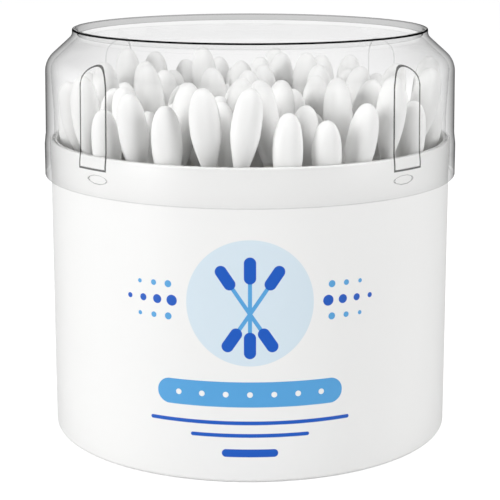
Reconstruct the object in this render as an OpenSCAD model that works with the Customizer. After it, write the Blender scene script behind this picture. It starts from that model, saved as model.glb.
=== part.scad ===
// Round cotton swab tub: a straight white tub, a clear press-on lid with a
// recessed top, and a loose bunch of double-ended swabs standing in the tub.
// Millimetres, +Z up, origin on the floor under the middle of the tub.

/* [Tub] */
// Outer diameter of the tub
tub_d = 90; // [86:0.5:94]
// Height of the tub to its open rim
tub_h = 66.4; // [64:0.2:69]
// Wall of the tub
tub_wall = 1.4; // [1.1:0.1:1.6]
// Thickness of the tub's floor
tub_floor = 1.5; // [1.2:0.1:2]
// Radius of the bottom outer edge
tub_foot_r = 1; // [0.4:0.1:1.3]
// Rounding of the open rim
tub_rim_r = 0.4; // [0.2:0.1:0.5]
// Width of the foot ring around the recessed panel under the tub
foot_ring_w = 7; // [5:0.5:11]
// Depth of the recessed panel under the tub
foot_panel_depth = 0.5; // [0.3:0.1:0.7]

/* [Lid] */
// Gap between the highest swab's tip and the lid's top plate
head_room = 4.1; // [3.7:0.1:7.3]
// How far the lid's skirt reaches down over the tub, from its rim
skirt_len = 8.2; // [7.4:0.1:9.9]
// Wall of the lid
lid_wall = 1.2; // [1:0.1:1.4]
// How far the raised ring on top lies inside the lid's skirt
ring_inset = 6.6; // [6:0.2:7.8]
// Width of the raised ring
ring_w = 1.1; // [0.9:0.1:1.6]
// Depth of the recess inside the raised ring
recess_depth = 1.5; // [1:0.1:1.6]
// Height of the ring's outer wall, down to where the shoulder would meet it
ring_upright = 1.6; // [1.4:0.1:1.9]
// Radius of the hollow between the ring and the shoulder
neck_r = 2; // [1:0.25:2.5]
// Thickness of the lid's top plate
plate_t = 0.9; // [0.8:0.1:1.2]
// Gap between the tub and the lid around it
lid_gap = 0.2; // [0.15:0.05:0.3]
// How far the seat ledge reaches in over the rim
ledge_in = 0.8; // [0.7:0.05:0.9]
// Height over which the ledge fades into the side
ledge_fade = 6; // [3:0.5:9]
// How much smaller the side is than the skirt below it
skirt_step = 0.3; // [0:0.1:0.5]
// Height over which the skirt steps in
skirt_step_h = 2.6; // [1:0.2:4]
// How much smaller the side is at the shoulder
side_taper = 0.2; // [0:0.05:0.4]
// Radius of the rounding at the shoulder
shoulder_r = 5; // [4:0.25:6.5]
// Slope of the shoulder, from upright
shoulder_slope = 48; // [45:1:51]
// Size of the lead-in chamfer inside the lower edge
lead_in = 0.7; // [0.4:0.1:0.8]

/* [Lid flutes] */
// Number of flutes around the lid
flute_count = 4; // [3:1:8]
// Width of a flute
flute_w = 7.8; // [6:0.2:9]
// Depth of a flute
flute_depth = 0.55; // [0.3:0.05:0.7]
// How far a flute's flat lower end lies below the tub's rim
flute_low_drop = 2.1; // [0.9:0.1:3.4]
// How far a flute's arched tip lies below the top of the lid
flute_tip_drop = 5.6; // [4.8:0.1:7.8]
// Width of the oval snap pip under each flute
pip_w = 6.5; // [5:0.1:7.5]
// Height of the oval snap pip
pip_h = 2; // [1.6:0.1:2.4]
// Height of the middle of the snap pips over the lid's lower edge
pip_rise = 3.5; // [2.8:0.1:3.8]
// Gap between a snap pip and the tub
pip_gap = 0.06; // [0.04:0.01:0.1]

/* [Swabs] */
// Length of a swab from tip to tip
swab_len = 71.5; // [70:0.5:72.5]
// Diameter of the paper stick
stick_d = 2.4; // [2:0.1:2.5]
// Diameter of a cotton head at its fullest
head_d = 6.5; // [6:0.1:6.6]
// Length of a cotton head
head_len = 18; // [15:0.5:20]
// Distance from a head's tip to its fullest place
head_full = 8.5; // [7:0.25:9]
// Diameter of the cotton where it ends on the stick
head_end_d = 2.8; // [2.7:0.1:3.2]
// How far the stick stops short of the tip
stick_short = 3; // [2:0.25:5]
// Spacing of the rings that the lower heads stand in
pitch_low = 6.94; // [6.9:0.02:7.6]
// Least spacing of the rings that the upper heads stand in
pitch_high = 8; // [7.9:0.05:9]
// Gap between the tub's wall and the outermost heads
bunch_gap = 0.35; // [0.3:0.05:1]
// Gap between the tub's floor and the lowest heads
swab_seat = 0.1; // [0.05:0.05:0.2]
// How far the highest swabs are pushed up
lift_range = 11.2; // [6:0.2:12]
// How much further out the highest heads lie
lift_spread = 0.008; // [0:0.002:0.01]
// Turn of the bunch about the middle of the tub
bunch_turn = 5; // [0:1:59]
// Share of three-swab groups twisted each way
twist_share = 0.42; // [0:0.01:0.5]

/* [Hidden] */
rows = 8;
round_fn = 96;
swab_fn = 24;
tub_r = tub_d / 2;
tub_in_r = tub_r - tub_wall;
foot_panel_r = tub_r - foot_ring_w;

// The lid's top is as high as the swabs under it need, and the lid is drawn
// closed, with its seat ledge on the tub's rim
swab_top_z = tub_floor + swab_seat + lift_range + swab_len;
plate_under_z = swab_top_z + head_room;
plate_z = plate_under_z + plate_t;
lid_top_z = plate_z + recess_depth;
skirt_in_r = tub_r + lid_gap;
skirt_r = skirt_in_r + lid_wall;
side_r = skirt_r - skirt_step;
shoulder_side_r = side_r - side_taper;
ledge_r = tub_r - ledge_in;
lid_edge_z = tub_h - skirt_len;
ring_r = skirt_r - ring_inset;
flute_low_z = tub_h - flute_low_drop;
flute_tip_z = lid_top_z - flute_tip_drop;
pip_z = lid_edge_z + pip_rise;
edge_r = 0.3;

// The shoulder is an arc that runs on as a straight slope to the ring's foot
ring_foot = [ring_r, lid_top_z - ring_upright];
bend_r = shoulder_side_r - shoulder_r + shoulder_r * cos(shoulder_slope);
slope_len = (bend_r - ring_foot[0]) / sin(shoulder_slope);
bend_z = ring_foot[1] - slope_len * cos(shoulder_slope);
shoulder_mid = [shoulder_side_r - shoulder_r, bend_z - shoulder_r * sin(shoulder_slope)];
neck_mid = ring_foot + neck_r * [1, tan(shoulder_slope / 2)];
shoulder_in_r = shoulder_r - lid_wall;
bend_in = shoulder_mid + shoulder_in_r * [cos(shoulder_slope), sin(shoulder_slope)];
plate_under_r = bend_in[0] - (plate_under_z - bend_in[1]) * tan(shoulder_slope);

// The bunch is a hexagonal lattice whose hexagons are drawn out into round
// rings, as many as the tub holds, spread so that the last one lies at its wall
bunch_r = tub_in_r - bunch_gap - head_d / 2;
ring_count = floor(bunch_r / pitch_high + 0.01);
spread = bunch_r / (ring_count * pitch_high);
row_rise = sqrt(3) / 2;
lattice_zero = 20;
twist_salt = 1;
lift_salt = 7;

// A repeatable scattered value from 0 to 1 for a whole number
function scatter(n, salt) =
    let (k = n + salt)
    ((k * k * 97 + k * 61 + salt * 29) % 211) / 210;

// The ring that a lattice site belongs to
function ring_of(q, r) = max(abs(q), abs(r), abs(q + r));

// Place of a lattice site in ring spacings, about the tub's middle
function site(q, r) =
    let (
        turn = (atan2(r * row_rise, q + r / 2) + 360) % 360,
        side = floor(turn / 60 + 0.001),
        along_side = turn - side * 60,
        share = sin(along_side) / (sin(along_side) + sin(60 - along_side)),
        angle = 60 * (side + share) + bunch_turn
    )
    ring_of(q, r) * [cos(angle), sin(angle)];

function in_bunch(q, r) = ring_of(q, r) <= ring_count;

// Swabs stand in groups of three neighbours, and a group can be twisted by
// a third of a turn, so that its sticks cross and its heads lean apart
corners = [[0, 0], [1, 0], [0, 1]];

function corner_of(q, r) = ((q - r) % 3 + 3) % 3;

function group_is_whole(g) =
    len([for (c = corners) if (in_bunch(g[0] + c[0], g[1] + c[1])) 1]) == len(corners);

function group_twist(g) =
    let (v = scatter((g[0] + lattice_zero) * 41 + (g[1] + lattice_zero) * 17, twist_salt))
    !group_is_whole(g) ? 0 : v < twist_share ? 1 : v < 2 * twist_share ? 2 : 0;

// One swab: the places of the fullest points of its lower and upper heads
function swab_at(q, r) =
    let (
        corner = corner_of(q, r),
        group = [q, r] - corners[corner],
        end = corners[(corner + group_twist(group)) % 3],
        share = scatter((q + lattice_zero) * 29 + (r + lattice_zero) * 23, lift_salt),
        low = site(q, r) * pitch_low * spread,
        high_pitch = pitch_high * spread * (1 + lift_spread * share),
        high = site(group[0] + end[0], group[1] + end[1]) * high_pitch,
        foot_z = tub_floor + swab_seat + lift_range * share
    )
    [
        [low[0], low[1], foot_z + head_full],
        [high[0], high[1], foot_z + swab_len - head_full]
    ];

swabs = [
    for (r = [-ring_count : ring_count])
        for (q = [-ring_count : ring_count])
            if (in_bunch(q, r)) swab_at(q, r)
];

// The bunch is split from front to back into rows, by each swab's upper head
function row_of(swab) =
    max(0, min(rows - 1, floor((swab[1][1] / bunch_r + 1) / 2 * rows)));

// Outline of half a cotton head, from its tip down to where it ends
function head_radius(x) =
    x < head_full
        ? head_d / 2 * pow(1 - pow((head_full - x) / head_full, 2.3), 0.5)
        : head_end_d / 2 + (head_d - head_end_d) / 2
            * pow(cos(90 * (x - head_full) / (head_len - head_full)), 1.3);

head_steps = [0.06, 0.22, 0.5, 0.95, 1.3, 1.6, 1.85];

function step_x(s) = s <= 1 ? s * head_full : head_full + (s - 1) * (head_len - head_full);

// Stands something along a swab, with its origin at the swab's middle
module along(swab) {
    way = swab[1] - swab[0];
    lean = acos(way[2] / norm(way));
    turn = atan2(way[1], way[0]);
    translate((swab[0] + swab[1]) / 2)
        rotate([0, lean, turn])
            children();
}

module stick_row(row) {
    stick_len = swab_len - 2 * stick_short;
    color("#f4f2ec")
        for (swab = swabs)
            if (row_of(swab) == row - 1)
                along(swab)
                    translate([0, 0, -stick_len / 2])
                        cylinder(h = stick_len, d = stick_d, $fn = swab_fn);
}

// One cotton head with its tip up, wound around the end of the stick
module head() {
    translate([0, 0, swab_len / 2])
        rotate_extrude($fn = swab_fn)
            polygon([
                [0, 0],
                for (s = head_steps) [head_radius(step_x(s)), -step_x(s)],
                [head_end_d / 2, -head_len],
                [stick_d / 2, -head_len],
                [stick_d / 2, -stick_short],
                [0, -stick_short]
            ]);
}

module upper_head_row(row) {
    color("#fbfbfb")
        for (swab = swabs)
            if (row_of(swab) == row - 1)
                along(swab)
                    head();
}

module lower_head_row(row) {
    color("#f6f6f6")
        for (swab = swabs)
            if (row_of(swab) == row - 1)
                along(swab)
                    rotate([180, 0, 0])
                        head();
}

// Points of a quarter round about a centre, from one angle to another
function arc(centre, r, from, to, steps = 5) =
    [for (i = [0 : steps]) let (a = from + (to - from) * i / steps) centre + r * [cos(a), sin(a)]];

module tub() {
    color("#f2f2f2")
        rotate_extrude($fn = round_fn)
            polygon(concat(
                [[0, foot_panel_depth], [foot_panel_r, foot_panel_depth]],
                [[foot_panel_r + foot_panel_depth, 0]],
                arc([tub_r - tub_foot_r, tub_foot_r], tub_foot_r, -90, 0),
                arc([tub_r - tub_rim_r, tub_h - tub_rim_r], tub_rim_r, 0, 90),
                arc([tub_in_r + tub_rim_r, tub_h - tub_rim_r], tub_rim_r, 90, 180),
                [[tub_in_r, tub_floor + tub_foot_r], [tub_in_r - tub_foot_r, tub_floor], [0, tub_floor]]
            ));
}

// The lid's outer outline from its lower edge to the ring's foot, taken in by some depth
function lid_outline(depth) = concat(
    [
        [skirt_r - depth, tub_h - skirt_step_h / 2],
        [side_r - depth, tub_h + skirt_step_h / 2]
    ],
    arc(shoulder_mid, shoulder_r - depth, 0, shoulder_slope, 8)
);

module lid_shell() {
    rotate_extrude($fn = round_fn)
        polygon(concat(
            [[skirt_in_r + lead_in, lid_edge_z], [skirt_r - edge_r, lid_edge_z]],
            [[skirt_r, lid_edge_z + edge_r]],
            lid_outline(0),
            arc(neck_mid, neck_r, 180 + shoulder_slope, 180, 5),
            [[ring_r, lid_top_z - edge_r], [ring_r - edge_r, lid_top_z]],
            [[ring_r - ring_w + edge_r, lid_top_z], [ring_r - ring_w, lid_top_z - edge_r]],
            [[ring_r - ring_w, plate_z], [0, plate_z], [0, plate_under_z]],
            [[plate_under_r, plate_under_z]],
            arc(shoulder_mid, shoulder_in_r, shoulder_slope, 0, 8),
            [[ledge_r, tub_h + ledge_fade], [ledge_r, tub_h], [skirt_in_r, tub_h]],
            [[skirt_in_r, lid_edge_z + lead_in]]
        ));
}

// Stands an outline on edge, facing outwards, around the lid at equal angles
module around_lid() {
    for (i = [0 : flute_count - 1])
        rotate([0, 0, 360 / flute_count * (i + 0.5) + 90])
            translate([0, -skirt_r - 1, 0])
                rotate([-90, 0, 0])
                    linear_extrude(height = shoulder_r + 4)
                        mirror([0, 1])
                            children();
}

module flute_outline() {
    arch_h = flute_w * 0.54;
    polygon(concat(
        [[-flute_w / 2, flute_low_z], [flute_w / 2, flute_low_z]],
        [for (i = [0 : 12]) let (a = i * 15)
            [flute_w / 2 * cos(a), flute_tip_z - arch_h + arch_h * sin(a)]]
    ));
}

module pip_outline() {
    polygon([for (i = [0 : 23]) let (a = i * 15)
        [pip_w / 2 * cos(a), pip_z + pip_h / 2 * sin(a)]]);
}

// The layer that the flutes take off the outside of the lid
module flute_layer() {
    out_r = skirt_r + 1;
    rotate_extrude($fn = round_fn)
        polygon(concat(
            [[out_r, flute_low_z - 1], [skirt_r - flute_depth, flute_low_z - 1]],
            lid_outline(flute_depth),
            [ring_foot + [0, -flute_depth], [out_r, ring_foot[1]]]
        ));
}

// The thin band inside the skirt that the snap pips are part of
module pip_layer() {
    in_r = tub_r + pip_gap;
    out_r = skirt_in_r + lid_wall / 2;
    translate([0, 0, pip_z - pip_h])
        difference() {
            cylinder(h = pip_h * 2, r = out_r, $fn = round_fn);
            translate([0, 0, -1])
                cylinder(h = pip_h * 2 + 2, r = in_r, $fn = round_fn);
        }
}

module lid() {
    color([0.9, 0.93, 0.95, 0.35]) {
        difference() {
            lid_shell();
            intersection() {
                flute_layer();
                around_lid()
                    flute_outline();
            }
        }
        intersection() {
            pip_layer();
            around_lid()
                pip_outline();
        }
    }
}

tub();
lid();
stick_row(1);  // sticks_1
stick_row(2);  // sticks_2
stick_row(3);  // sticks_3
stick_row(4);  // sticks_4
stick_row(5);  // sticks_5
stick_row(6);  // sticks_6
stick_row(7);  // sticks_7
stick_row(8);  // sticks_8
upper_head_row(1);  // upper_heads_1
upper_head_row(2);  // upper_heads_2
upper_head_row(3);  // upper_heads_3
upper_head_row(4);  // upper_heads_4
upper_head_row(5);  // upper_heads_5
upper_head_row(6);  // upper_heads_6
upper_head_row(7);  // upper_heads_7
upper_head_row(8);  // upper_heads_8
lower_head_row(1);  // lower_heads_1
lower_head_row(2);  // lower_heads_2
lower_head_row(3);  // lower_heads_3
lower_head_row(4);  // lower_heads_4
lower_head_row(5);  // lower_heads_5
lower_head_row(6);  // lower_heads_6
lower_head_row(7);  // lower_heads_7
lower_head_row(8);  // lower_heads_8
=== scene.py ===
import math

import bmesh
import bpy
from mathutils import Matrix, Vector


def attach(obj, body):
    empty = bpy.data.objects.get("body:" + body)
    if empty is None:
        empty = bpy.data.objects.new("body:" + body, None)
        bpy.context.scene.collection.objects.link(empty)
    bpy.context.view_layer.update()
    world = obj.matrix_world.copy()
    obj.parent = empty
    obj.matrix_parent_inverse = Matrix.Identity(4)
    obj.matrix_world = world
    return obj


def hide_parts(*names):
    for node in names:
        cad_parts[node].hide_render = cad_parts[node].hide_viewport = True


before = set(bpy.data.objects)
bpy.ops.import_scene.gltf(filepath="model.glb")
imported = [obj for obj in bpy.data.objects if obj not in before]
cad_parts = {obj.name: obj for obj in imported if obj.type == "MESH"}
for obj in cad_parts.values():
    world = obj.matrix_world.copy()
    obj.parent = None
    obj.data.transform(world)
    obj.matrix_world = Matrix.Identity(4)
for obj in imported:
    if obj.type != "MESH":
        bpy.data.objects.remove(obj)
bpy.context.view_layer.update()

# Values are millimetres where nothing else is said, and the meshes are in metres
MM = 0.001

# Tub
TUB_R = 45.0
TUB_H = 66.4
TUB_WALL = 1.4
TUB_FLOOR = 1.5
TUB_FOOT_R = 1.0
TUB_RIM_R = 0.4
FOOT_RING_W = 7.0
FOOT_PANEL_R = TUB_R - FOOT_RING_W
FOOT_PANEL_DEPTH = 0.5
TUB_COLUMNS = 192
TUB_SHARP_DEGREES = 40

# Lid
LID_TOP = 90.8
LID_EDGE = 58.2
LID_WALL = 1.2
RING_R = 39.8
RING_W = 1.1
RECESS_DEPTH = 1.5
RING_UPRIGHT = 1.6
NECK_R = 2.0
PLATE_T = 0.9
LID_GAP = 0.2
LEDGE_IN = 0.8
LEDGE_FADE = 6.0
SKIRT_STEP = 0.3
SKIRT_STEP_H = 2.6
SIDE_TAPER = 0.2
SHOULDER_R = 5.0
SHOULDER_SLOPE = math.radians(48)
LEAD_IN = 0.7
EDGE_R = 0.3
RECESS_FILLET = 0.3
RING_LINE_DOWN = 0.05
LID_SHARP_DEGREES = 32
SKIRT_IN_R = TUB_R + LID_GAP
SKIRT_R = SKIRT_IN_R + LID_WALL
SIDE_R = SKIRT_R - SKIRT_STEP
SHOULDER_SIDE_R = SIDE_R - SIDE_TAPER
LEDGE_R = TUB_R - LEDGE_IN
STEP_LOW = TUB_H - SKIRT_STEP_H / 2
STEP_HIGH = TUB_H + SKIRT_STEP_H / 2
RING_IN_R = RING_R - RING_W
PLATE_Z = LID_TOP - RECESS_DEPTH
PLATE_UNDER_Z = PLATE_Z - PLATE_T

# Flutes and snap pips
FLUTES = 4
FLUTE_W = 7.8
FLUTE_DEPTH = 0.55
FLUTE_LOW = 64.3
FLUTE_TIP = 85.2
FLUTE_ARCH_SHARE = 0.54
FLUTE_ARCH_H = FLUTE_W * FLUTE_ARCH_SHARE
PIP_W = 6.5
PIP_H = 2.0
PIP_Z = 61.7
PIP_OUT = 0.14
PIP_EDGE = 0.16
LINE_W = 0.42
FLUTE_STEPS = 24
PLAIN_STEPS = 36
FLUTE_ROWS = 10
SLOPE_ROWS = 14
PIP_ROWS = 20
PIP_ROWS_REACH = 0.6

# Swabs
SWAB_LEN = 71.5
STICK_D = 2.4
HEAD_D = 6.5
HEAD_LEN = 18.0
HEAD_FULL = 8.5
HEAD_END_D = 2.8
HEAD_END_CHAMFER = 0.05
STICK_IN_HEAD = 1.0
PITCH_LOW = 6.94
PITCH_HIGH = 8.0
RING_COUNT = 5
SWAB_SEAT = 0.1
LIFT_RANGE = 11.2
LIFT_SPREAD = 0.008
BUNCH_TURN = 5
TWIST_SHARE = 0.42
ROWS = 8


def arc(middle, r, start, end, steps):
    """Points of an arc in the profile plane, angles in degrees from outwards to upwards."""
    points = []
    for i in range(steps + 1):
        a = math.radians(start + (end - start) * i / steps)
        points.append((middle[0] + r * math.cos(a), middle[1] + r * math.sin(a)))
    return points


def place(r, angle, z):
    """A point of the object in metres, at an angle from the front towards +X."""
    return Vector((r * math.sin(angle), -r * math.cos(angle), z)) * MM


def add_piece(name, mesh, body, nodes):
    """Puts a piece in the scene, on a body and in place of the CAD nodes that it shows."""
    piece = bpy.data.objects.new(name, mesh)
    bpy.context.collection.objects.link(piece)
    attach(piece, body)
    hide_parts(*nodes)
    return piece


# Materials

def linear(hex_colour):
    """sRGB hex to the linear colour that the shaders take."""
    out = []
    for i in (0, 2, 4):
        c = int(hex_colour[i:i + 2], 16) / 255
        out.append(c / 12.92 if c <= 0.04045 else ((c + 0.055) / 1.055) ** 2.4)
    return (*out, 1.0)


def add(tree, kind, links=None, values=None, **settings):
    """Adds a node with its settings, input values and links."""
    node = tree.nodes.new(kind)
    for key, value in settings.items():
        setattr(node, key, value)
    for key, value in (values or {}).items():
        node.inputs[key].default_value = value
    for key, socket in (links or {}).items():
        tree.links.new(socket, node.inputs[key])
    return node


def new_material(name):
    """A material with an empty node tree."""
    material = bpy.data.materials.new(name)
    material.use_nodes = True
    material.node_tree.nodes.clear()
    return material


def finish_material(material, shader):
    """Links the last shader to the material's output."""
    out = material.node_tree.nodes.new("ShaderNodeOutputMaterial")
    material.node_tree.links.new(shader.outputs[0], out.inputs["Surface"])
    return material


def math_node(tree, operation, a, b=None, c=None, clamp=False):
    """The output of a maths node whose inputs are numbers or sockets."""
    node = tree.nodes.new("ShaderNodeMath")
    node.operation = operation
    node.use_clamp = clamp
    for i, value in enumerate((a, b, c)):
        if value is None:
            continue
        if isinstance(value, (int, float)):
            node.inputs[i].default_value = value
        else:
            tree.links.new(value, node.inputs[i])
    return node.outputs[0]


def add_noise(tree, where, spacing, detail):
    """A noise whose lumps lie about that many millimetres apart."""
    values = {"Scale": 1 / (spacing * MM), "Detail": detail}
    return add(tree, "ShaderNodeTexNoise", {"Vector": where}, values).outputs[0]


WHITE = (1.0, 1.0, 1.0, 1.0)

# Inks and plastic of the tub
INK_DEEP = linear("0057C2")
INK_MID = linear("55A5DF")
INK_PALE = linear("D8E7F1")
TUB_WHITE = linear("F3F3F2")
PRINT_EDGE = 0.06

# How far apart the lumps of each surface lie. Orange peel of a moulded wall is a millimetre or two
# wide, and winding leaves clumps about as wide as a stick. A cotton fibre is 0.02 mm wide and a
# paper fibre 0.03 mm, too fine to show, so strands and flocks of fibres are drawn instead
PEEL_SPACING = 1.43
CLUMP_SPACING = 2.38
STRAND_SPACING = 0.385
STRAND_SQUEEZE = 0.18
FLOCK_SPACING = 0.556

# The print, as places on the unrolled wall: millimetres to the right of the front and upwards
PATCH = (0.0, 38.5)
PATCH_R = 13.2
FAN_CROSS = (0.0, 36.3)
FAN_LEAN = 34
FAN_DOWN = 8.2
FAN_UP = 10.6
FAN_STICK_R = 0.42
FAN_HEAD_R = 1.25
FAN_HEAD_LEN = 3.1
DOT_STEP = 3.3
BIG_DOTS = 4
BIG_DOT_X = 16.4
BIG_DOT_R = 1.15
BIG_DOT_LESS = 0.2
SMALL_DOTS = 3
SMALL_DOT_X = 17.2
SMALL_DOT_UP = 3.4
SMALL_DOT_R = 0.75
SMALL_DOT_LESS = 0.15
BAND_Z = 19.2
BAND_HALF = 17
BAND_R = 2.7
BAND_DOT_R = 0.6
BAND_DOTS = range(-15, 16, 5)
PLAIN_LINES = ((13.1, 21, 0.4), (10.4, 12, 0.4), (6.6, 5, 0.85))

# How the lid's plastic looks. Greys and lines are shares of full painted shade, a dark see-through
# tint that darkens outlines and draws dark lines, and shines are shares of full mirror. The pips'
# line share is over 1 because pips are seen from behind, where FAR_SHARE weakens them
CLEAR_TINT = linear("FEFEFE")
THROUGH_TINT = linear("FDFDFD")
# The colour of the painted shade: a dark see-through tint laid over the lid's outline and lines
PAINTED_SHADE_TINT = linear("18191A")
OUTLINE_SHARPNESS = 5.4
SLOPE_SHARPNESS = 6.0
SIDE_PAINTED_SHADE = 1.0
INNER_PAINTED_SHADE = 0.15
PLATE_PAINTED_SHADE = 0.03
FOOT_PAINTED_SHADE = 0.25
FOOT_PAINTED_SHADE_LINE = 0.12
WALL_SHINE = 0.01
SLOPE_SHINE = 0.3
GLANCING_SHINE = 0.35
GLANCING_POWER = 5.0
PLATE_SHINE = 0.1
INNER_SHINE = 0.2
FAR_SHARE = 0.2
# Strengths of the painted dark lines of shade at the flutes, pips, ring and recess
FLUTE_PAINTED_SHADE_LINE = 0.8
PIP_PAINTED_SHADE_LINE = 2.8
PIP_PAINTED_SHADE_LINE_HALF = 0.4
RING_PAINTED_SHADE_LINE = 1.0
RING_IN_PAINTED_SHADE_LINE = 0.4
RECESS_WALL_PAINTED_SHADE = 0.36
MOST_MIRRORED = 1.5
MOST_BENT = 7.5


def bar_cover(tree, point, start, end, r):
    """How much of a place a round-ended bar of ink covers, from 0 to 1."""
    a = Vector((start[0], start[1], 0)) * MM
    b = Vector((end[0], end[1], 0)) * MM
    along = b - a
    from_a = add(tree, "ShaderNodeVectorMath", {0: point}, {1: a}, operation="SUBTRACT").outputs[0]
    # A dot is a bar of no length, which mustn't be divided by
    unit = along / max(along.length_squared, 1e-12)
    dot = add(tree, "ShaderNodeVectorMath", {0: from_a}, {1: unit}, operation="DOT_PRODUCT")
    share = math_node(tree, "ADD", dot.outputs["Value"], 0.0, clamp=True)
    back = add(tree, "ShaderNodeVectorMath", {"Scale": share}, {0: -along}, operation="SCALE")
    off = add(tree, "ShaderNodeVectorMath", {0: from_a, 1: back.outputs[0]}, operation="ADD")
    distance = add(tree, "ShaderNodeVectorMath", {0: off.outputs[0]}, operation="LENGTH")
    return math_node(
        tree, "MULTIPLY_ADD", distance.outputs["Value"], -1 / (PRINT_EDGE * MM),
        r / PRINT_EDGE + 0.5, clamp=True,
    )


def lay_ink(tree, colour, covers, ink):
    """Prints a set of bars in one ink over what lies there."""
    cover = covers[0]
    for other in covers[1:]:
        cover = math_node(tree, "MAXIMUM", cover, other)
    # Inputs 6 and 7 and output 2 are the mix's colours
    mix = add(tree, "ShaderNodeMix", {0: cover, 6: colour}, {7: ink}, data_type="RGBA")
    return mix.outputs[2]


def blue_print(tree, colour, on_wall):
    """A plain generic design in three blue inks, laid over the tub's white."""

    def bar(start, end, r):
        return bar_cover(tree, on_wall, start, end, r)

    def dot(x, z, r):
        return bar((x, z), (x, z), r)

    # A pale round patch with a fan of three swabs on it
    colour = lay_ink(tree, colour, [dot(*PATCH, PATCH_R)], INK_PALE)
    sticks = []
    heads = []
    for lean in (-FAN_LEAN, 0, FAN_LEAN):
        a = math.radians(lean)
        way = (math.sin(a), math.cos(a))
        low = (FAN_CROSS[0] - FAN_DOWN * way[0], FAN_CROSS[1] - FAN_DOWN * way[1])
        high = (FAN_CROSS[0] + FAN_UP * way[0], FAN_CROSS[1] + FAN_UP * way[1])
        sticks.append(bar(low, high, FAN_STICK_R))
        for tip, inwards in ((low, FAN_HEAD_LEN), (high, -FAN_HEAD_LEN)):
            inner = (tip[0] + inwards * way[0], tip[1] + inwards * way[1])
            heads.append(bar(tip, inner, FAN_HEAD_R))
    colour = lay_ink(tree, colour, sticks, INK_MID)
    colour = lay_ink(tree, colour, heads, INK_DEEP)

    # Dots that shrink away to both sides of the patch
    big = []
    small = []
    for side in (-1, 1):
        for i in range(BIG_DOTS):
            x = side * (BIG_DOT_X + DOT_STEP * i)
            big.append(dot(x, PATCH[1], BIG_DOT_R - BIG_DOT_LESS * i))
        for i in range(SMALL_DOTS):
            x = side * (SMALL_DOT_X + DOT_STEP * i)
            for up in (-SMALL_DOT_UP, SMALL_DOT_UP):
                small.append(dot(x, PATCH[1] + up, SMALL_DOT_R - SMALL_DOT_LESS * i))
    colour = lay_ink(tree, colour, big, INK_DEEP)
    colour = lay_ink(tree, colour, small, INK_MID)

    # A rounded band with a row of white dots, and three plain lines under it
    band = bar((-BAND_HALF, BAND_Z), (BAND_HALF, BAND_Z), BAND_R)
    colour = lay_ink(tree, colour, [band], INK_MID)
    dots = [dot(x, BAND_Z, BAND_DOT_R) for x in BAND_DOTS]
    colour = lay_ink(tree, colour, dots, TUB_WHITE)
    lines = [bar((-half, z), (half, z), r) for z, half, r in PLAIN_LINES]
    return lay_ink(tree, colour, lines, INK_DEEP)


def tub_material():
    """Injection-moulded white polypropylene, printed with blue inks.

    The moulding is softly glossy with a faint orange peel, which keeps its highlights broad and
    even, and the print lies flat in it.
    """
    material = new_material("Moulded white polypropylene, printed")
    tree = material.node_tree
    place_of = add(tree, "ShaderNodeTexCoord").outputs["Object"]
    xyz = add(tree, "ShaderNodeSeparateXYZ", {0: place_of})
    minus_y = math_node(tree, "MULTIPLY", xyz.outputs[1], -1.0)
    angle = math_node(tree, "ARCTAN2", xyz.outputs[0], minus_y)
    across = math_node(tree, "MULTIPLY", angle, TUB_R * MM)
    on_wall = add(tree, "ShaderNodeCombineXYZ", {0: across, 1: xyz.outputs[2]}).outputs[0]
    base = add(tree, "ShaderNodeRGB")
    base.outputs[0].default_value = TUB_WHITE
    colour = blue_print(tree, base.outputs[0], on_wall)

    peel = add_noise(tree, place_of, PEEL_SPACING, 2.0)
    bump = add(tree, "ShaderNodeBump", {"Height": peel}, {"Strength": 0.05, "Distance": 0.02 * MM})
    shader = add(
        tree, "ShaderNodeBsdfPrincipled",
        {"Base Color": colour, "Normal": bump.outputs[0]},
        {"Roughness": 0.36, "IOR": 1.49, "Specular IOR Level": 0.6},
    )
    return finish_material(material, shader)


def face_mark(tree, name):
    """One of the lid's marks, which edge_marks gives to each face of its mesh."""
    return add(tree, "ShaderNodeAttribute", attribute_name=name).outputs["Fac"]


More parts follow.
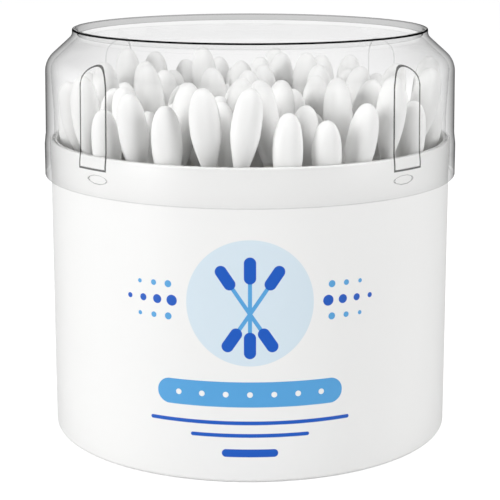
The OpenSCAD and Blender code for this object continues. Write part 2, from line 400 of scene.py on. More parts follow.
def lid_material():
    """Clear crystal polystyrene, injection-moulded and polished.

    A moulded wall is so thin and even that what lies behind it is seen in its place, so it is
    drawn as a thin wall: it lets light straight through, with a sharp shine on top. It is all but
    colourless face on and mirrors more towards its outline, where painted shade, a dark see-through
    tint, greys it. Narrow steps such as the flutes' walls send light away, and their dark lines are
    painted shade that the face marks lay on.
    Faces hit from behind belong to the lid's far side or inside and show less. Only the raised
    ring's flat top bends light like solid plastic.
    """
    material = new_material("Clear moulded polystyrene with painted shade")
    tree = material.node_tree
    facing = add(tree, "ShaderNodeLayerWeight", values={"Blend": 0.5}).outputs["Facing"]
    normal = add(tree, "ShaderNodeTexCoord").outputs["Normal"]
    upward = math_node(tree, "ABSOLUTE", add(tree, "ShaderNodeSeparateXYZ", {0: normal}).outputs[2])
    from_behind = add(tree, "ShaderNodeNewGeometry").outputs["Backfacing"]
    near = math_node(tree, "MULTIPLY_ADD", from_behind, FAR_SHARE - 1.0, 1.0)

    # How much painted shade a face gets: towards its outline at a grazing angle, or as its own painted
    # dark line
    sharpness = math_node(tree, "MULTIPLY_ADD", upward, SLOPE_SHARPNESS, OUTLINE_SHARPNESS)
    steep = math_node(tree, "POWER", facing, sharpness)
    outline = math_node(tree, "MULTIPLY", steep, face_mark(tree, "grey"))
    line = math_node(tree, "MULTIPLY", near, face_mark(tree, "painted_shade_line"))
    dark = math_node(tree, "MAXIMUM", outline, line)

    # How much of the room a face mirrors
    glancing = math_node(tree, "POWER", facing, GLANCING_POWER)
    flat_on = math_node(tree, "MULTIPLY_ADD", upward, SLOPE_SHINE, WALL_SHINE)
    whole = math_node(tree, "MULTIPLY_ADD", glancing, GLANCING_SHINE, flat_on)
    near_share = math_node(tree, "MULTIPLY", near, face_mark(tree, "shine"))
    mirror = math_node(tree, "MULTIPLY", whole, near_share)

    straight = add(tree, "ShaderNodeBsdfTransparent", values={"Color": CLEAR_TINT})
    shine = add(tree, "ShaderNodeBsdfGlossy", values={"Color": WHITE, "Roughness": 0.0})
    thin = add(tree, "ShaderNodeMixShader", {0: mirror, 1: straight.outputs[0], 2: shine.outputs[0]})
    clear = add(tree, "ShaderNodeBsdfPrincipled", values={
        "Base Color": CLEAR_TINT, "Roughness": 0.0, "IOR": 1.59,
        "Specular IOR Level": 0.5, "Transmission Weight": 1.0,
    })
    bends = face_mark(tree, "bends")
    wall = add(tree, "ShaderNodeMixShader", {0: bends, 1: thin.outputs[0], 2: clear.outputs[0]})
    # The painted shade: a dark see-through sheet mixed over the wall at the outline and the lines
    edge = add(tree, "ShaderNodeBsdfTransparent", values={"Color": PAINTED_SHADE_TINT})
    seen = add(tree, "ShaderNodeMixShader", {0: dark, 1: wall.outputs[0], 2: edge.outputs[0]})

    # Lamps shine through it without the noise of bent shadow rays, and light that has run along
    # inside a wall for long gets out again
    through = add(tree, "ShaderNodeBsdfTransparent", values={"Color": THROUGH_TINT})
    path = add(tree, "ShaderNodeLightPath")
    mirrored = math_node(tree, "GREATER_THAN", path.outputs["Glossy Depth"], MOST_MIRRORED)
    bent = math_node(tree, "GREATER_THAN", path.outputs["Transmission Depth"], MOST_BENT)
    deep = math_node(tree, "MAXIMUM", mirrored, bent)
    unlit = math_node(
        tree, "MAXIMUM", path.outputs["Is Shadow Ray"], path.outputs["Is Diffuse Ray"]
    )
    skip = math_node(tree, "MAXIMUM", unlit, deep)
    shader = add(tree, "ShaderNodeMixShader", {0: skip, 1: seen.outputs[0], 2: through.outputs[0]})
    return finish_material(material, shader)


def cotton_material():
    """Bleached cotton fibre, wound on the stick and smoothed.

    The heads are matt with a soft sheen that lifts their edges, and fine fibres run along them
    over softer clumps.
    """
    material = new_material("Wound bleached cotton")
    tree = material.node_tree
    place_of = add(tree, "ShaderNodeTexCoord").outputs["Object"]
    squeeze = {"Scale": (1.0, 1.0, STRAND_SQUEEZE)}
    stretched = add(tree, "ShaderNodeMapping", {"Vector": place_of}, squeeze).outputs[0]
    strands = add_noise(tree, stretched, STRAND_SPACING, 3.0)
    clumps = add_noise(tree, place_of, CLUMP_SPACING, 2.0)
    height = math_node(tree, "MULTIPLY_ADD", clumps, 0.6, strands)
    bump = add(tree, "ShaderNodeBump", {"Height": height}, {"Strength": 0.22, "Distance": 0.08 * MM})
    shader = add(
        tree, "ShaderNodeBsdfPrincipled",
        {"Normal": bump.outputs[0]},
        {
            "Base Color": linear("F6F6F5"), "Roughness": 0.95, "IOR": 1.46,
            "Specular IOR Level": 0.2, "Sheen Weight": 0.25, "Sheen Roughness": 0.6,
        },
    )
    return finish_material(material, shader)


def stick_material():
    """Tightly rolled white paper, matt and a little warmer than the cotton, with a fine grain."""
    material = new_material("Rolled white paper")
    tree = material.node_tree
    place_of = add(tree, "ShaderNodeTexCoord").outputs["Object"]
    flocks = add_noise(tree, place_of, FLOCK_SPACING, 4.0)
    bump = add(tree, "ShaderNodeBump", {"Height": flocks}, {"Strength": 0.2, "Distance": 0.05 * MM})
    shader = add(
        tree, "ShaderNodeBsdfPrincipled",
        {"Normal": bump.outputs[0]},
        {"Base Color": linear("F1EFE9"), "Roughness": 0.8, "IOR": 1.5},
    )
    return finish_material(material, shader)


# Turned and fluted meshes

def turned_mesh(profile, count, closed_at):
    """A closed skin of quads around the axis.

    profile holds the radius and height of each ring, count its points, and closed_at the two
    heights where the skin meets the axis.
    """
    bm = bmesh.new()
    angles = [2 * math.pi * j / count for j in range(count)]
    rings = [[bm.verts.new(place(r, a, z)) for a in angles] for r, z in profile]
    for low, high in zip(rings, rings[1:]):
        for j in range(count):
            k = (j + 1) % count
            bm.faces.new((low[j], low[k], high[k], high[j]))
    for ring, z in zip((rings[0], rings[-1]), closed_at):
        pole = bm.verts.new(place(0, 0, z))
        for j in range(count):
            bm.faces.new((pole, ring[j], ring[(j + 1) % count]))
    return bm


def to_mesh(bm, name, sharp_degrees):
    """A smooth-shaded mesh whose edges are sharp where they turn by more than an angle."""
    bmesh.ops.recalc_face_normals(bm, faces=bm.faces)
    mesh = bpy.data.meshes.new(name)
    bm.to_mesh(mesh)
    bm.free()
    mesh.shade_smooth()
    mesh.set_sharp_from_angle(angle=math.radians(sharp_degrees))
    return mesh


def make_tub():
    """The tub's shell, from the panel under it round its rim to its floor."""
    outer = TUB_R - TUB_FOOT_R
    inner = TUB_R - TUB_WALL
    # Rows between the corners only keep the faces short
    profile = [(15, FOOT_PANEL_DEPTH), (30, FOOT_PANEL_DEPTH), (FOOT_PANEL_R, FOOT_PANEL_DEPTH)]
    profile += [(FOOT_PANEL_R + FOOT_PANEL_DEPTH, 0), (41.5, 0)]
    profile += arc((outer, TUB_FOOT_R), TUB_FOOT_R, -90, 0, 6)
    profile += [(TUB_R, z) for z in (10, 20, 30, 40, 50, 60)]
    profile += arc((TUB_R - TUB_RIM_R, TUB_H - TUB_RIM_R), TUB_RIM_R, 0, 90, 5)
    profile += arc((inner + TUB_RIM_R, TUB_H - TUB_RIM_R), TUB_RIM_R, 90, 180, 5)
    profile += [(inner, z) for z in (60, 50, 40, 30, 20, 10)]
    profile += [(inner, TUB_FLOOR + TUB_FOOT_R), (inner - TUB_FOOT_R, TUB_FLOOR), (28, TUB_FLOOR)]
    bm = turned_mesh(profile, TUB_COLUMNS, (FOOT_PANEL_DEPTH, TUB_FLOOR))
    mesh = to_mesh(bm, "tub_shell", TUB_SHARP_DEGREES)
    piece = add_piece("tub_shell", mesh, "tub", ["tub"])
    piece.data.materials.append(tub_material())


# The lid's shoulder is an arc that runs on as a straight slope to the hollow neck under the ring
FOOT = (RING_R, LID_TOP - RING_UPRIGHT)
NECK_MID = (RING_R + NECK_R, FOOT[1] + NECK_R * math.tan(SHOULDER_SLOPE / 2))
NECK_LOW = NECK_MID[1] - NECK_R * math.sin(SHOULDER_SLOPE)
BEND_R = SHOULDER_SIDE_R - SHOULDER_R * (1 - math.cos(SHOULDER_SLOPE))
SLOPE_LEN = (BEND_R - FOOT[0]) / math.sin(SHOULDER_SLOPE)
BEND_Z = FOOT[1] - SLOPE_LEN * math.cos(SHOULDER_SLOPE)
SHOULDER_MID = (SHOULDER_SIDE_R - SHOULDER_R, BEND_Z - SHOULDER_R * math.sin(SHOULDER_SLOPE))


def outer_side(z):
    """Radius of the lid's outside at a height, and the outward direction there."""
    if z <= STEP_LOW:
        return SKIRT_R, (1.0, 0.0)
    if z <= STEP_HIGH:
        return SKIRT_R - SKIRT_STEP * (z - STEP_LOW) / (STEP_HIGH - STEP_LOW), (1.0, 0.0)
    if z <= SHOULDER_MID[1]:
        return SIDE_R - SIDE_TAPER * (z - STEP_HIGH) / (SHOULDER_MID[1] - STEP_HIGH), (1.0, 0.0)
    if z <= BEND_Z:
        up = math.asin((z - SHOULDER_MID[1]) / SHOULDER_R)
        return SHOULDER_MID[0] + SHOULDER_R * math.cos(up), (math.cos(up), math.sin(up))
    r = BEND_R - (z - BEND_Z) * math.tan(SHOULDER_SLOPE)
    return r, (math.cos(SHOULDER_SLOPE), math.sin(SHOULDER_SLOPE))


def lid_columns():
    """Angle of each column and its place across a flute, from -1 to 1, or None between flutes."""
    columns = []
    half = math.asin(FLUTE_W / 2 / SIDE_R)
    quarter = 2 * math.pi / FLUTES
    for k in range(FLUTES):
        middle = quarter * (k + 0.5)
        for i in range(FLUTE_STEPS + 1):
            across = math.sin(math.pi * (i / FLUTE_STEPS - 0.5))
            columns.append((middle + math.asin(across * FLUTE_W / 2 / SIDE_R), across))
        line = LINE_W / SIDE_R
        columns.append((middle + half + line, None))
        for i in range(1, PLAIN_STEPS):
            columns.append((middle + half + (quarter - 2 * half) * i / PLAIN_STEPS, None))
        columns.append((middle + quarter - half - line, None))
    return columns


def arch_top(across, wider):
    """Height of a flute's arch at a column, or of the same arch made wider all round."""
    share = 1.0 if across is None else across * FLUTE_W / (FLUTE_W + 2 * wider)
    return FLUTE_TIP - FLUTE_ARCH_H + (FLUTE_ARCH_H + wider) * math.sqrt(1 - share * share)


def pip_far(z, across):
    """How far out in the snap pip's oval a place is: 0 at its middle and 1 on its edge."""
    return math.hypot(across * FLUTE_W / PIP_W, (z - PIP_Z) / (PIP_H / 2))


def inner_skirt(z, across):
    """Radius inside the skirt, less the snap pip where there is one."""
    if across is None:
        return SKIRT_IN_R
    rise = (1.0 - pip_far(z, across)) / PIP_EDGE
    return SKIRT_IN_R - PIP_OUT * min(1.0, max(0.0, rise))


def between(start, end, parts):
    """Points that split a straight line into equal parts, from its start to just before its end."""
    return [
        (start[0] + (end[0] - start[0]) * i / parts, start[1] + (end[1] - start[1]) * i / parts)
        for i in range(parts)
    ]


def lid_inside(across):
    """The lid's inner outline at one column, from the plate's underside down to the skirt's edge.

    Rows between the corners only keep the faces short.
    """
    inner_r = SHOULDER_R - LID_WALL
    bend = (
        SHOULDER_MID[0] + inner_r * math.cos(SHOULDER_SLOPE),
        SHOULDER_MID[1] + inner_r * math.sin(SHOULDER_SLOPE),
    )
    under_r = bend[0] - (PLATE_UNDER_Z - bend[1]) * math.tan(SHOULDER_SLOPE)
    points = [(r, PLATE_UNDER_Z) for r in (10, 20, 30, 38)]
    points += between((under_r, PLATE_UNDER_Z), bend, 4)
    points += arc(SHOULDER_MID, inner_r, math.degrees(SHOULDER_SLOPE), 0, 8)
    fade = (LEDGE_R, TUB_H + LEDGE_FADE)
    points += between(points[-1], fade, 3)[1:]
    points += [fade, (LEDGE_R, TUB_H + 2), (LEDGE_R, TUB_H), (SKIRT_IN_R, TUB_H)]
    points += [(SKIRT_IN_R, 65), (SKIRT_IN_R, 63.5)]
    for i in range(PIP_ROWS + 1):
        z = PIP_Z + PIP_H * PIP_ROWS_REACH * (1 - 2 * i / PIP_ROWS)
        points.append((inner_skirt(z, across), z))
    points += [(SKIRT_IN_R, LID_EDGE + LEAD_IN), (SKIRT_IN_R + LEAD_IN, LID_EDGE)]
    return points


def lid_outside(across):
    """The lid's outer outline at one column, from the skirt's edge up round the ring to the plate.

    Also the first and the last of its points that lie along a flute.
    """
    # A quarter round's middle point lies 0.3 of its radius in from both sides
    round_in = EDGE_R * 0.3
    points = [(SKIRT_R - EDGE_R, LID_EDGE), (SKIRT_R - round_in, LID_EDGE + round_in)]
    points += [(SKIRT_R, LID_EDGE + EDGE_R), (SKIRT_R, 61), (SKIRT_R, FLUTE_LOW - LINE_W)]
    flute_from = len(points)
    above_step = STEP_HIGH + 2
    arch = arch_top(across, 0.0)
    heights = [FLUTE_LOW, STEP_LOW, TUB_H, STEP_HIGH, above_step]
    heights += [
        above_step + (arch - above_step) * i / FLUTE_ROWS for i in range(1, FLUTE_ROWS + 1)
    ]
    flute_to = flute_from + len(heights) - 1
    line_top = max(arch_top(across, LINE_W), arch + LINE_W)
    heights += [line_top + (NECK_LOW - line_top) * i / SLOPE_ROWS for i in range(SLOPE_ROWS)]
    points += [(outer_side(z)[0], z) for z in heights]
    points += arc(NECK_MID, NECK_R, 180 + math.degrees(SHOULDER_SLOPE), 180, 5)
    points += [(RING_R, LID_TOP - EDGE_R - RING_LINE_DOWN), (RING_R, LID_TOP - EDGE_R)]
    points += arc((RING_R - EDGE_R, LID_TOP - EDGE_R), EDGE_R, 20, 90, 4)
    points += arc((RING_IN_R + EDGE_R, LID_TOP - EDGE_R), EDGE_R, 90, 180, 4)
    points += [(RING_IN_R, PLATE_Z + RECESS_FILLET), (RING_IN_R - 0.1, PLATE_Z + 0.08)]
    points += [(RING_IN_R - RECESS_FILLET, PLATE_Z)]
    points += [(r, PLATE_Z) for r in (34, 25, 15, 7)]
    return points, flute_from, flute_to


# A face's marks: its outline's painted shade, its own painted dark line, its share of shine, and 1 where
# it bends light
PLAIN_MARKS = (SIDE_PAINTED_SHADE, 0.0, 1.0, 0.0)
INNER_MARKS = (INNER_PAINTED_SHADE, 0.0, INNER_SHINE, 0.0)
PLATE_MARKS = (PLATE_PAINTED_SHADE, 0.0, PLATE_SHINE, 0.0)
RING_TOP_MARKS = (SIDE_PAINTED_SHADE, 0.0, 1.0, 1.0)
FLUTE_PAINTED_SHADE_MARKS = (SIDE_PAINTED_SHADE, FLUTE_PAINTED_SHADE_LINE, 1.0, 0.0)

# Faces within this of a surface count as lying on it
NEAR = 0.1


def edge_marks(r, z, across):
    """The marks of the face whose middle is at a radius and height, in a column of the lid.

    They say what the real wall does there, in painted shade: narrow steps and rounds send light away,
    so they get painted dark lines, the recessed plate and the inner faces show little, and the ring's
    flat top bends light.
    """
    if r < RING_IN_R - RECESS_FILLET and z > PLATE_UNDER_Z - NEAR:
        return PLATE_MARKS
    # The ring's outer top edge: a painted dark line of shade
    if z > LID_TOP - EDGE_R - RING_LINE_DOWN and r > RING_R - EDGE_R:
        return SIDE_PAINTED_SHADE, RING_PAINTED_SHADE_LINE, 1.0, 0.0
    # The ring's inner top edge: a fainter painted dark line of shade
    if z > LID_TOP - EDGE_R and r < RING_IN_R + EDGE_R:
        return SIDE_PAINTED_SHADE, RING_IN_PAINTED_SHADE_LINE, 1.0, 0.0
    if z > LID_TOP - EDGE_R:
        return RING_TOP_MARKS
    # The recess wall inside the ring: a painted dark line of shade
    if z > PLATE_Z:
        return SIDE_PAINTED_SHADE, (RECESS_WALL_PAINTED_SHADE if r < RING_R - RING_W / 2 else 0.0), 1.0, 0.0
    # The skirt's bottom round: painted shade at its outline and a faint painted dark line of shade
    if z < LID_EDGE + EDGE_R:
        return FOOT_PAINTED_SHADE, FOOT_PAINTED_SHADE_LINE, 1.0, 0.0
    if z < LID_EDGE + LEAD_IN:
        return FOOT_PAINTED_SHADE, 0.0, 1.0, 0.0
    # The snap pips' outlines: painted dark lines of shade
    if across is not None and abs(r - SKIRT_IN_R) < PIP_OUT + NEAR:
        from_mid_edge = pip_far(z, across) - 1 + PIP_EDGE / 2
        if abs(from_mid_edge) < PIP_EDGE * PIP_PAINTED_SHADE_LINE_HALF:
            return INNER_PAINTED_SHADE, PIP_PAINTED_SHADE_LINE, INNER_SHINE, 0.0
    if r < outer_side(z)[0] - LID_WALL / 2:
        return INNER_MARKS
    return PLAIN_MARKS


def make_lid():
    """The lid as one closed grid around the axis, with its flutes sunk into it."""
    columns = lid_columns()
    outlines = [lid_inside(across) + lid_outside(across)[0] for angle, across in columns]
    rows = []
    for spots in zip(*outlines):
        rows.append([(r, angle, z) for (r, z), (angle, across) in zip(spots, columns)])
    first_out = len(lid_inside(None))
    flute_from, flute_to = (first_out + i for i in lid_outside(None)[1:])
    bm = bmesh.new()
    layers = [bm.faces.layers.float.new(name) for name in ("grey", "painted_shade_line", "shine", "bends")]
    rings = [[bm.verts.new(place(*spot)) for spot in ring] for ring in rows]
    count = len(columns)

    def in_flute(i, j):
        sides = (columns[j % count][1], columns[(j + 1) % count][1])
        return flute_from <= i < flute_to and None not in sides

    def by_flute(i, j):
        return any(in_flute(i + a, j + b) for a in (-1, 0, 1) for b in (-1, 0, 1))

    # Each flute is a second, sunken layer of the same grid, joined to the first by its walls
    sunken = {}

    def sunk(i, j):
        if (i, j) not in sunken:
            r, angle, z = rows[i][j]
            out = outer_side(z)[1]
            spot = place(r - FLUTE_DEPTH * out[0], angle, z - FLUTE_DEPTH * out[1])
            sunken[i, j] = bm.verts.new(spot)
        return sunken[i, j]

    def skin(corners, marks):
        face = bm.faces.new(corners)
        for layer, mark in zip(layers, marks):
            face[layer] = mark

    for i in range(len(rings) - 1):
        for j in range(count):
            k = (j + 1) % count
            corners = ((i, j), (i, k), (i + 1, k), (i + 1, j))
            if not in_flute(i, j):
                spots = [rows[a][b] for a, b in corners]
                r = sum(spot[0] for spot in spots) / 4
                z = sum(spot[2] for spot in spots) / 4
                # Faces round a flute get a painted dark line of shade
                marks = FLUTE_PAINTED_SHADE_MARKS if by_flute(i, j) else edge_marks(r, z, columns[j][1])
                skin([rings[a][b] for a, b in corners], marks)
                continue
            skin([sunk(a, b) for a, b in corners], PLAIN_MARKS)
            for side, beside in enumerate(((i - 1, j), (i, k), (i + 1, j), (i, (j - 1) % count))):
                if not in_flute(*beside):
                    a, b = corners[side], corners[(side + 1) % 4]
                    wall = (rings[a[0]][a[1]], rings[b[0]][b[1]], sunk(*b), sunk(*a))
                    skin(wall, PLAIN_MARKS)
    for ring, z in ((rings[0], PLATE_UNDER_Z), (rings[-1], PLATE_Z)):
        pole = bm.verts.new(place(0, 0, z))
        for j in range(count):
            skin((pole, ring[j], ring[(j + 1) % count]), PLATE_MARKS)
    mesh = to_mesh(bm, "clear_lid", LID_SHARP_DEGREES)
    piece = add_piece("clear_lid", mesh, "lid", ["lid"])
    piece.data.materials.append(lid_material())


# Swabs

LATTICE_ZERO = 20
GROUP_NUMBERS = (41, 17)
SWAB_NUMBERS = (29, 23)
TWIST_SALT = 1
LIFT_SALT = 7
CORNERS = ((0, 0), (1, 0), (0, 1))

# A head's outline: how blunt its tip is, how full its tip is, and how fast it thins to the stick
TIP_BLUNT = 2.5
TIP_FULL = 0.46
TAIL_FALL = 1.3
HEAD_ROWS = (0.03, 0.2, 0.6, 1.2, 2.2, 3.6, 5.4, 7.6, 9.8, 11.6, 13.2, 14.6, 16.0, 17.2)
UPPER_SIDES = 20
LOWER_SIDES = 12
STICK_SIDES = 10
ROD_SHARP_DEGREES = 80

# Small differences between the heads
LEAST_WIDTH = 0.95
UNEVENNESS = 0.16
UNEVENNESS_SPACING = 3.5
WIDTH_SEED = 4


def scatter(q, r, numbers, salt):
    """A repeatable scattered value from 0 to 1 for a lattice site, by primes."""
    k = (q + LATTICE_ZERO) * numbers[0] + (r + LATTICE_ZERO) * numbers[1] + salt
    return ((k * k * 97 + k * 61 + salt * 29) % 211) / 210


def ring_of(q, r):
    """The hexagonal ring that a lattice site is on, counted from the middle."""
    return max(abs(q), abs(r), abs(q + r))


def site(q, r):
    """Place of a lattice site in ring spacings: hexagons drawn out into round rings."""
    turn = math.degrees(math.atan2(r * math.sqrt(3) / 2, q + r / 2)) % 360
    # A hair over, so that a rounding error doesn't put a corner on the side before
    side = math.floor(turn / 60 + 0.001)
    along = math.radians(turn - side * 60)
    share = math.sin(along) / (math.sin(along) + math.sin(math.pi / 3 - along))
    angle = math.radians(60 * (side + share) + BUNCH_TURN)
    ring = ring_of(q, r)
    return ring * math.cos(angle), ring * math.sin(angle)


def in_bunch(q, r):
    """Whether a lattice site holds a swab."""
    return ring_of(q, r) <= RING_COUNT


def swab_at(q, r):
    """The fullest points of one swab's lower and upper heads.

    Swabs stand in groups of three neighbours, and a group can be twisted by a third of a turn.
    """
    corner = (q - r) % 3
    gq, gr = q - CORNERS[corner][0], r - CORNERS[corner][1]
    twist = 0
    if all(in_bunch(gq + a, gr + b) for a, b in CORNERS):
        v = scatter(gq, gr, GROUP_NUMBERS, TWIST_SALT)
        if v < TWIST_SHARE:
            twist = 1
        elif v < 2 * TWIST_SHARE:
            twist = 2
    end = CORNERS[(corner + twist) % 3]
    share = scatter(q, r, SWAB_NUMBERS, LIFT_SALT)
    low = site(q, r)
    high = site(gq + end[0], gr + end[1])
    spread = PITCH_HIGH * (1 + LIFT_SPREAD * share)
    foot = TUB_FLOOR + SWAB_SEAT + LIFT_RANGE * share
    return (
        Vector((low[0] * PITCH_LOW, low[1] * PITCH_LOW, foot + HEAD_FULL)),
        Vector((high[0] * spread, high[1] * spread, foot + SWAB_LEN - HEAD_FULL)),
    )


def all_swabs():
    """Both ends of every swab of the bunch."""
    reach = range(-RING_COUNT, RING_COUNT + 1)
    return [swab_at(q, r) for r in reach for q in reach if in_bunch(q, r)]


def head_radius(x):
    """Radius of a head at a distance from its tip."""
    if x < HEAD_FULL:
        return HEAD_D / 2 * (1 - ((HEAD_FULL - x) / HEAD_FULL) ** TIP_BLUNT) ** TIP_FULL
    fall = math.cos(math.pi / 2 * (x - HEAD_FULL) / (HEAD_LEN - HEAD_FULL))
    return HEAD_END_D / 2 + (HEAD_D - HEAD_END_D) / 2 * max(0.0, fall) ** TAIL_FALL


def rod_template(name, profile, sides):
    """A closed rod about +Z from a profile of radius and height, listed from the top down."""
    bm = bmesh.new()
    rings = []
    for r, z in profile:
        rings.append([
            bm.verts.new(Vector((r * math.cos(a), r * math.sin(a), z)) * MM)
            for a in (2 * math.pi * i / sides for i in range(sides))
        ])
    for high, low in zip(rings, rings[1:]):
        for i in range(sides):
            k = (i + 1) % sides
            bm.faces.new((high[i], low[i], low[k], high[k]))
    bm.faces.new(rings[0])
    bm.faces.new(list(reversed(rings[-1])))
    return bpy.data.objects.new(name, to_mesh(bm, name, ROD_SHARP_DEGREES))


def head_template(sides):
    """One head at the top end of a swab whose middle is at the origin."""
    top = SWAB_LEN / 2
    profile = [(head_radius(x), top - x) for x in HEAD_ROWS]
    profile += [(HEAD_END_D / 2 - HEAD_END_CHAMFER, top - HEAD_LEN)]
    return rod_template("cotton_head", profile, sides)


def stick_template(sides):
    """The stick of a swab whose middle is at the origin, a little way into both heads."""
    end = SWAB_LEN / 2 - HEAD_LEN + STICK_IN_HEAD
    return rod_template("paper_stick", [(STICK_D / 2, z) for z in (end, 0, -end)], sides)


GROUP_INPUTS = (
    ("Geometry", "NodeSocketGeometry"),
    ("Template", "NodeSocketObject"),
    ("Material", "NodeSocketMaterial"),
    ("Smallest width", "NodeSocketFloat"),
    ("Largest width", "NodeSocketFloat"),
    ("Unevenness", "NodeSocketFloat"),
    ("Unevenness spacing", "NodeSocketFloat"),
    ("Seed", "NodeSocketInt"),
)


def bunch_tree():
    """Stands a template along each swab's way, with small differences of size and surface."""
    tree = bpy.data.node_groups.new("Swab bunch", "GeometryNodeTree")
    for name, kind in GROUP_INPUTS:
        tree.interface.new_socket(name, in_out="INPUT", socket_type=kind)
    tree.interface.new_socket("Geometry", in_out="OUTPUT", socket_type="NodeSocketGeometry")
    given = tree.nodes.new("NodeGroupInput").outputs
    template = add(tree, "GeometryNodeObjectInfo", {"Object": given["Template"]})
    way = add(
        tree, "GeometryNodeInputNamedAttribute", values={"Name": "way"}, data_type="FLOAT_VECTOR"
    )
    turn = add(tree, "FunctionNodeAlignRotationToVector", {"Vector": way.outputs[0]}, axis="Z")
    # Inputs 2 and 3 are the least and the most of a single random number
    width = add(
        tree, "FunctionNodeRandomValue",
        {"Seed": given["Seed"], 2: given["Smallest width"], 3: given["Largest width"]},
        data_type="FLOAT",
    )
    size = add(tree, "ShaderNodeCombineXYZ", {0: width.outputs[1], 1: width.outputs[1]}, {2: 1.0})
    stood = add(tree, "GeometryNodeInstanceOnPoints", {
        "Points": given["Geometry"], "Instance": template.outputs["Geometry"],
        "Rotation": turn.outputs[0], "Scale": size.outputs[0],
    })
    real = add(tree, "GeometryNodeRealizeInstances", {"Geometry": stood.outputs[0]})
    spot = tree.nodes.new("GeometryNodeInputPosition").outputs[0]
    rate = add(tree, "ShaderNodeMath", {1: given["Unevenness spacing"]}, {0: 1.0}, operation="DIVIDE")
    noise = add(
        tree, "ShaderNodeTexNoise",
        {"Vector": spot, "Scale": rate.outputs[0]}, {"Detail": 0.0},
        noise_dimensions="3D",
    )
    centred = add(tree, "ShaderNodeMath", {0: noise.outputs[0]}, {1: 0.5}, operation="SUBTRACT")
    amount = add(
        tree, "ShaderNodeMath", {0: centred.outputs[0], 1: given["Unevenness"]}, operation="MULTIPLY"
    )
    normal = tree.nodes.new("GeometryNodeInputNormal").outputs[0]
    offset = add(
        tree, "ShaderNodeVectorMath", {0: normal, "Scale": amount.outputs[0]}, operation="SCALE"
    )
    uneven = add(
        tree, "GeometryNodeSetPosition", {"Geometry": real.outputs[0], "Offset": offset.outputs[0]}
    )
    dressed = add(
        tree, "GeometryNodeSetMaterial", {"Geometry": uneven.outputs[0], "Material": given["Material"]}
    )
    out = tree.nodes.new("NodeGroupOutput")
    tree.links.new(dressed.outputs[0], out.inputs[0])
    return tree


def points_object(name, places, ways):
    """Bare points, one for each swab, that also say which way it stands."""
    mesh = bpy.data.meshes.new(name)
    mesh.from_pydata(places, [], [])
    attribute = mesh.attributes.new("way", "FLOAT_VECTOR", "POINT")
    for i, way in enumerate(ways):
        attribute.data[i].vector = way
    points = bpy.data.objects.new(name, mesh)
    bpy.context.collection.objects.link(points)
    return points


def grown(name, tree, places, ways, values):
    """Runs the tree on the swabs and returns its result as a plain mesh."""
    points = points_object(name + "_points", places, ways)
    modifier = points.modifiers.new("Swab bunch", "NODES")
    modifier.node_group = tree
    for item in tree.interface.items_tree:
        if item.in_out == "INPUT" and item.name in values:
            modifier[item.identifier] = values[item.name]
    seen = points.evaluated_get(bpy.context.evaluated_depsgraph_get())
    mesh = bpy.data.meshes.new_from_object(seen)
    mesh.name = name
    bpy.data.objects.remove(points)
    return mesh


def make_swabs():
    """The sticks and the upper and lower heads, each kind as one piece in place of its rows."""
    swabs = all_swabs()
    middles = [(a + b) / 2 * MM for a, b in swabs]
    ways = [(b - a).normalized() for a, b in swabs]
    downs = [-way for way in ways]
    tree = bunch_tree()
    upper_head = head_template(UPPER_SIDES)
    lower_head = head_template(LOWER_SIDES)
    stick = stick_template(STICK_SIDES)
    cotton = cotton_material()
    paper = stick_material()
    kinds = (
        ("upper_cotton_heads", "upper_heads", "cotton", cotton, upper_head, ways, LEAST_WIDTH, UNEVENNESS),
        ("lower_cotton_heads", "lower_heads", "cotton", cotton, lower_head, downs, LEAST_WIDTH, 0.0),
        ("paper_sticks", "sticks", "paper_stick", paper, stick, ways, 1.0, 0.0),
    )
    for name, node, slot_name, material, template, along, least, uneven in kinds:
        values = {
            "Template": template, "Material": material,
            "Smallest width": least, "Largest width": 1.0, "Seed": WIDTH_SEED,
            "Unevenness": uneven * MM, "Unevenness spacing": UNEVENNESS_SPACING * MM,
        }
        mesh = grown(name, tree, middles, along, values)
        nodes = ["%s_%d" % (node, i + 1) for i in range(ROWS)]
        add_piece(name, mesh, "tub", nodes)
    for template in (upper_head, lower_head, stick):
        bpy.data.objects.remove(template)


# Camera, floor and light

CAMERA_BACK = 351.0
CAMERA_UP = 120.2
CAMERA_PITCH = math.radians(10.95)
CAMERA_LENS = 112.2
CAMERA_SENSOR = 36.0
CAMERA_SHIFT = -0.11

# The room is in metres, and its brightness is a share of white
CLIP_NEAR = 0.01
CLIP_FAR = 50.0
FLOOR_R = 6.0
FLOOR_GREY = 0.6
FLOOR_GREY_SEEN = 0.25
FLOOR_GLOW = 0.92
GLOSS_BACKDROP = 0.2
SOFT_LIGHT = 0.2

# Heights on the world's sphere, from 0 at the horizon to 1 overhead, with the brightness there
BACKDROP_TOP = {"From Min": 0.25, "From Max": 0.45, "To Min": 1.0, "To Max": 0.3}
OVERHEAD_PANEL = {"From Min": 0.45, "From Max": 0.95, "To Min": 0.0, "To Max": 0.55}

# Each softbox's name, place, size and power. The left one lights the front, the right one fills
# it and the top one gives the heads their light caps
SOFTBOXES = (
    ("Key softbox", (-1.27, -0.8, 0.45), (0.6, 1.3), 23.2),
    ("Fill softbox", (1.38, -0.6, 0.4), (0.9, 1.3), 19.5),
    ("Top softbox", (0.0, 0.05, 1.0), (0.8, 0.8), 3.5),
)
SOFTBOX_AIM = (0.0, 0.0, 0.05)


def make_camera():
    """The camera, in front of the tub and tilted down onto it."""
    data = bpy.data.cameras.new("Camera")
    data.lens = CAMERA_LENS
    data.sensor_width = CAMERA_SENSOR
    data.shift_y = CAMERA_SHIFT
    data.clip_start = CLIP_NEAR
    data.clip_end = CLIP_FAR
    camera = bpy.data.objects.new("Camera", data)
    camera.location = Vector((0, -CAMERA_BACK, CAMERA_UP)) * MM
    camera.rotation_euler = (math.pi / 2 - CAMERA_PITCH, 0, 0)
    bpy.context.collection.objects.link(camera)
    bpy.context.scene.camera = camera


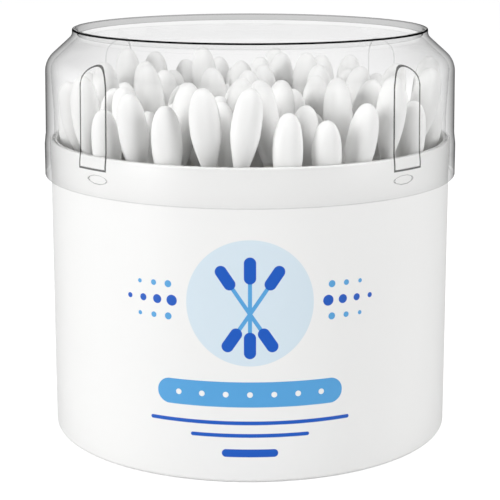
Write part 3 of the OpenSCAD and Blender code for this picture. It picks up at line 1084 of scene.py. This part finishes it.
def seen_directly(tree):
    """1 for rays that show the backdrop itself: from the camera, in gloss or through the lid."""
    path = add(tree, "ShaderNodeLightPath")
    gloss = math_node(
        tree, "MAXIMUM", path.outputs["Is Glossy Ray"], path.outputs["Is Transmission Ray"]
    )
    return math_node(tree, "MAXIMUM", path.outputs["Is Camera Ray"], gloss)


def dim_in_gloss(tree, brightness):
    """A brightness that is 1 lower in gloss, but for the share GLOSS_BACKDROP.

    Gloss then has darker edges, as between the black boards of a product studio.
    """
    in_gloss = add(tree, "ShaderNodeLightPath").outputs["Is Glossy Ray"]
    return math_node(tree, "MULTIPLY_ADD", in_gloss, GLOSS_BACKDROP - 1.0, brightness)


def make_floor():
    """A white floor that is lifted to white where it is seen, and still takes the tub's shadow."""
    bm = bmesh.new()
    bmesh.ops.create_circle(bm, cap_ends=True, radius=FLOOR_R, segments=64)
    mesh = bpy.data.meshes.new("studio_floor")
    bm.to_mesh(mesh)
    bm.free()
    floor = bpy.data.objects.new("studio_floor", mesh)
    bpy.context.collection.objects.link(floor)
    material = new_material("White studio floor")
    tree = material.node_tree
    seen = seen_directly(tree)
    paleness = math_node(tree, "MULTIPLY_ADD", seen, FLOOR_GREY_SEEN - FLOOR_GREY, FLOOR_GREY)
    grey = add(tree, "ShaderNodeCombineXYZ", {0: paleness, 1: paleness, 2: paleness})
    matt = add(tree, "ShaderNodeBsdfDiffuse", {"Color": grey.outputs[0]})
    lift = math_node(tree, "MULTIPLY", seen, dim_in_gloss(tree, FLOOR_GLOW))
    glow = add(tree, "ShaderNodeEmission", {"Strength": lift})
    both = add(tree, "ShaderNodeAddShader", {0: matt.outputs[0], 1: glow.outputs[0]})
    finish_material(material, both)
    mesh.materials.append(material)


def make_world():
    """A white studio, dim above the backdrop, with a bright panel overhead that gloss shows."""
    world = bpy.data.worlds.new("Studio")
    bpy.context.scene.world = world
    world.use_nodes = True
    tree = world.node_tree
    tree.nodes.clear()
    way = add(tree, "ShaderNodeTexCoord").outputs["Generated"]
    height = add(tree, "ShaderNodeSeparateXYZ", {0: way}).outputs[2]
    path = add(tree, "ShaderNodeLightPath")
    dim = add(tree, "ShaderNodeMapRange", {"Value": height}, BACKDROP_TOP).outputs[0]
    panel = add(tree, "ShaderNodeMapRange", {"Value": height}, OVERHEAD_PANEL).outputs[0]
    overhead = math_node(tree, "MULTIPLY", panel, path.outputs["Is Glossy Ray"])
    high = math_node(tree, "MULTIPLY_ADD", dim, dim_in_gloss(tree, 1.0), overhead)
    # The camera itself sees plain white
    seen_high = math_node(tree, "MAXIMUM", high, path.outputs["Is Camera Ray"])
    seen = add(tree, "ShaderNodeBackground", {"Strength": seen_high}, {"Color": WHITE})
    soft = add(tree, "ShaderNodeBackground", values={"Color": WHITE, "Strength": SOFT_LIGHT})
    share = seen_directly(tree)
    mix = add(tree, "ShaderNodeMixShader", {0: share, 1: soft.outputs[0], 2: seen.outputs[0]})
    out = tree.nodes.new("ShaderNodeOutputWorld")
    tree.links.new(mix.outputs[0], out.inputs[0])


def add_softbox(name, spot, size, power):
    """A rectangular lamp turned to the tub."""
    data = bpy.data.lights.new(name, "AREA")
    data.shape = "RECTANGLE"
    data.size, data.size_y = size
    data.energy = power
    lamp = bpy.data.objects.new(name, data)
    lamp.location = spot
    aim = Vector(SOFTBOX_AIM) - Vector(spot)
    lamp.rotation_euler = aim.to_track_quat("-Z", "Y").to_euler()
    bpy.context.collection.objects.link(lamp)
    return lamp


def make_lights():
    """The softboxes. The polished lid would mirror them as hard patches, so they leave it out."""
    left_out = bpy.data.collections.new("Left out by the lamps")
    left_out.objects.link(bpy.data.objects["clear_lid"])
    for name, spot, size, power in SOFTBOXES:
        lamp = add_softbox(name, spot, size, power)
        lamp.light_linking.receiver_collection = left_out
    left_out.collection_objects[0].light_linking.link_state = "EXCLUDE"


make_camera()
make_tub()
make_lid()
make_swabs()
make_floor()
make_world()
make_lights()
bpy.context.scene.view_settings.view_transform = "Standard"
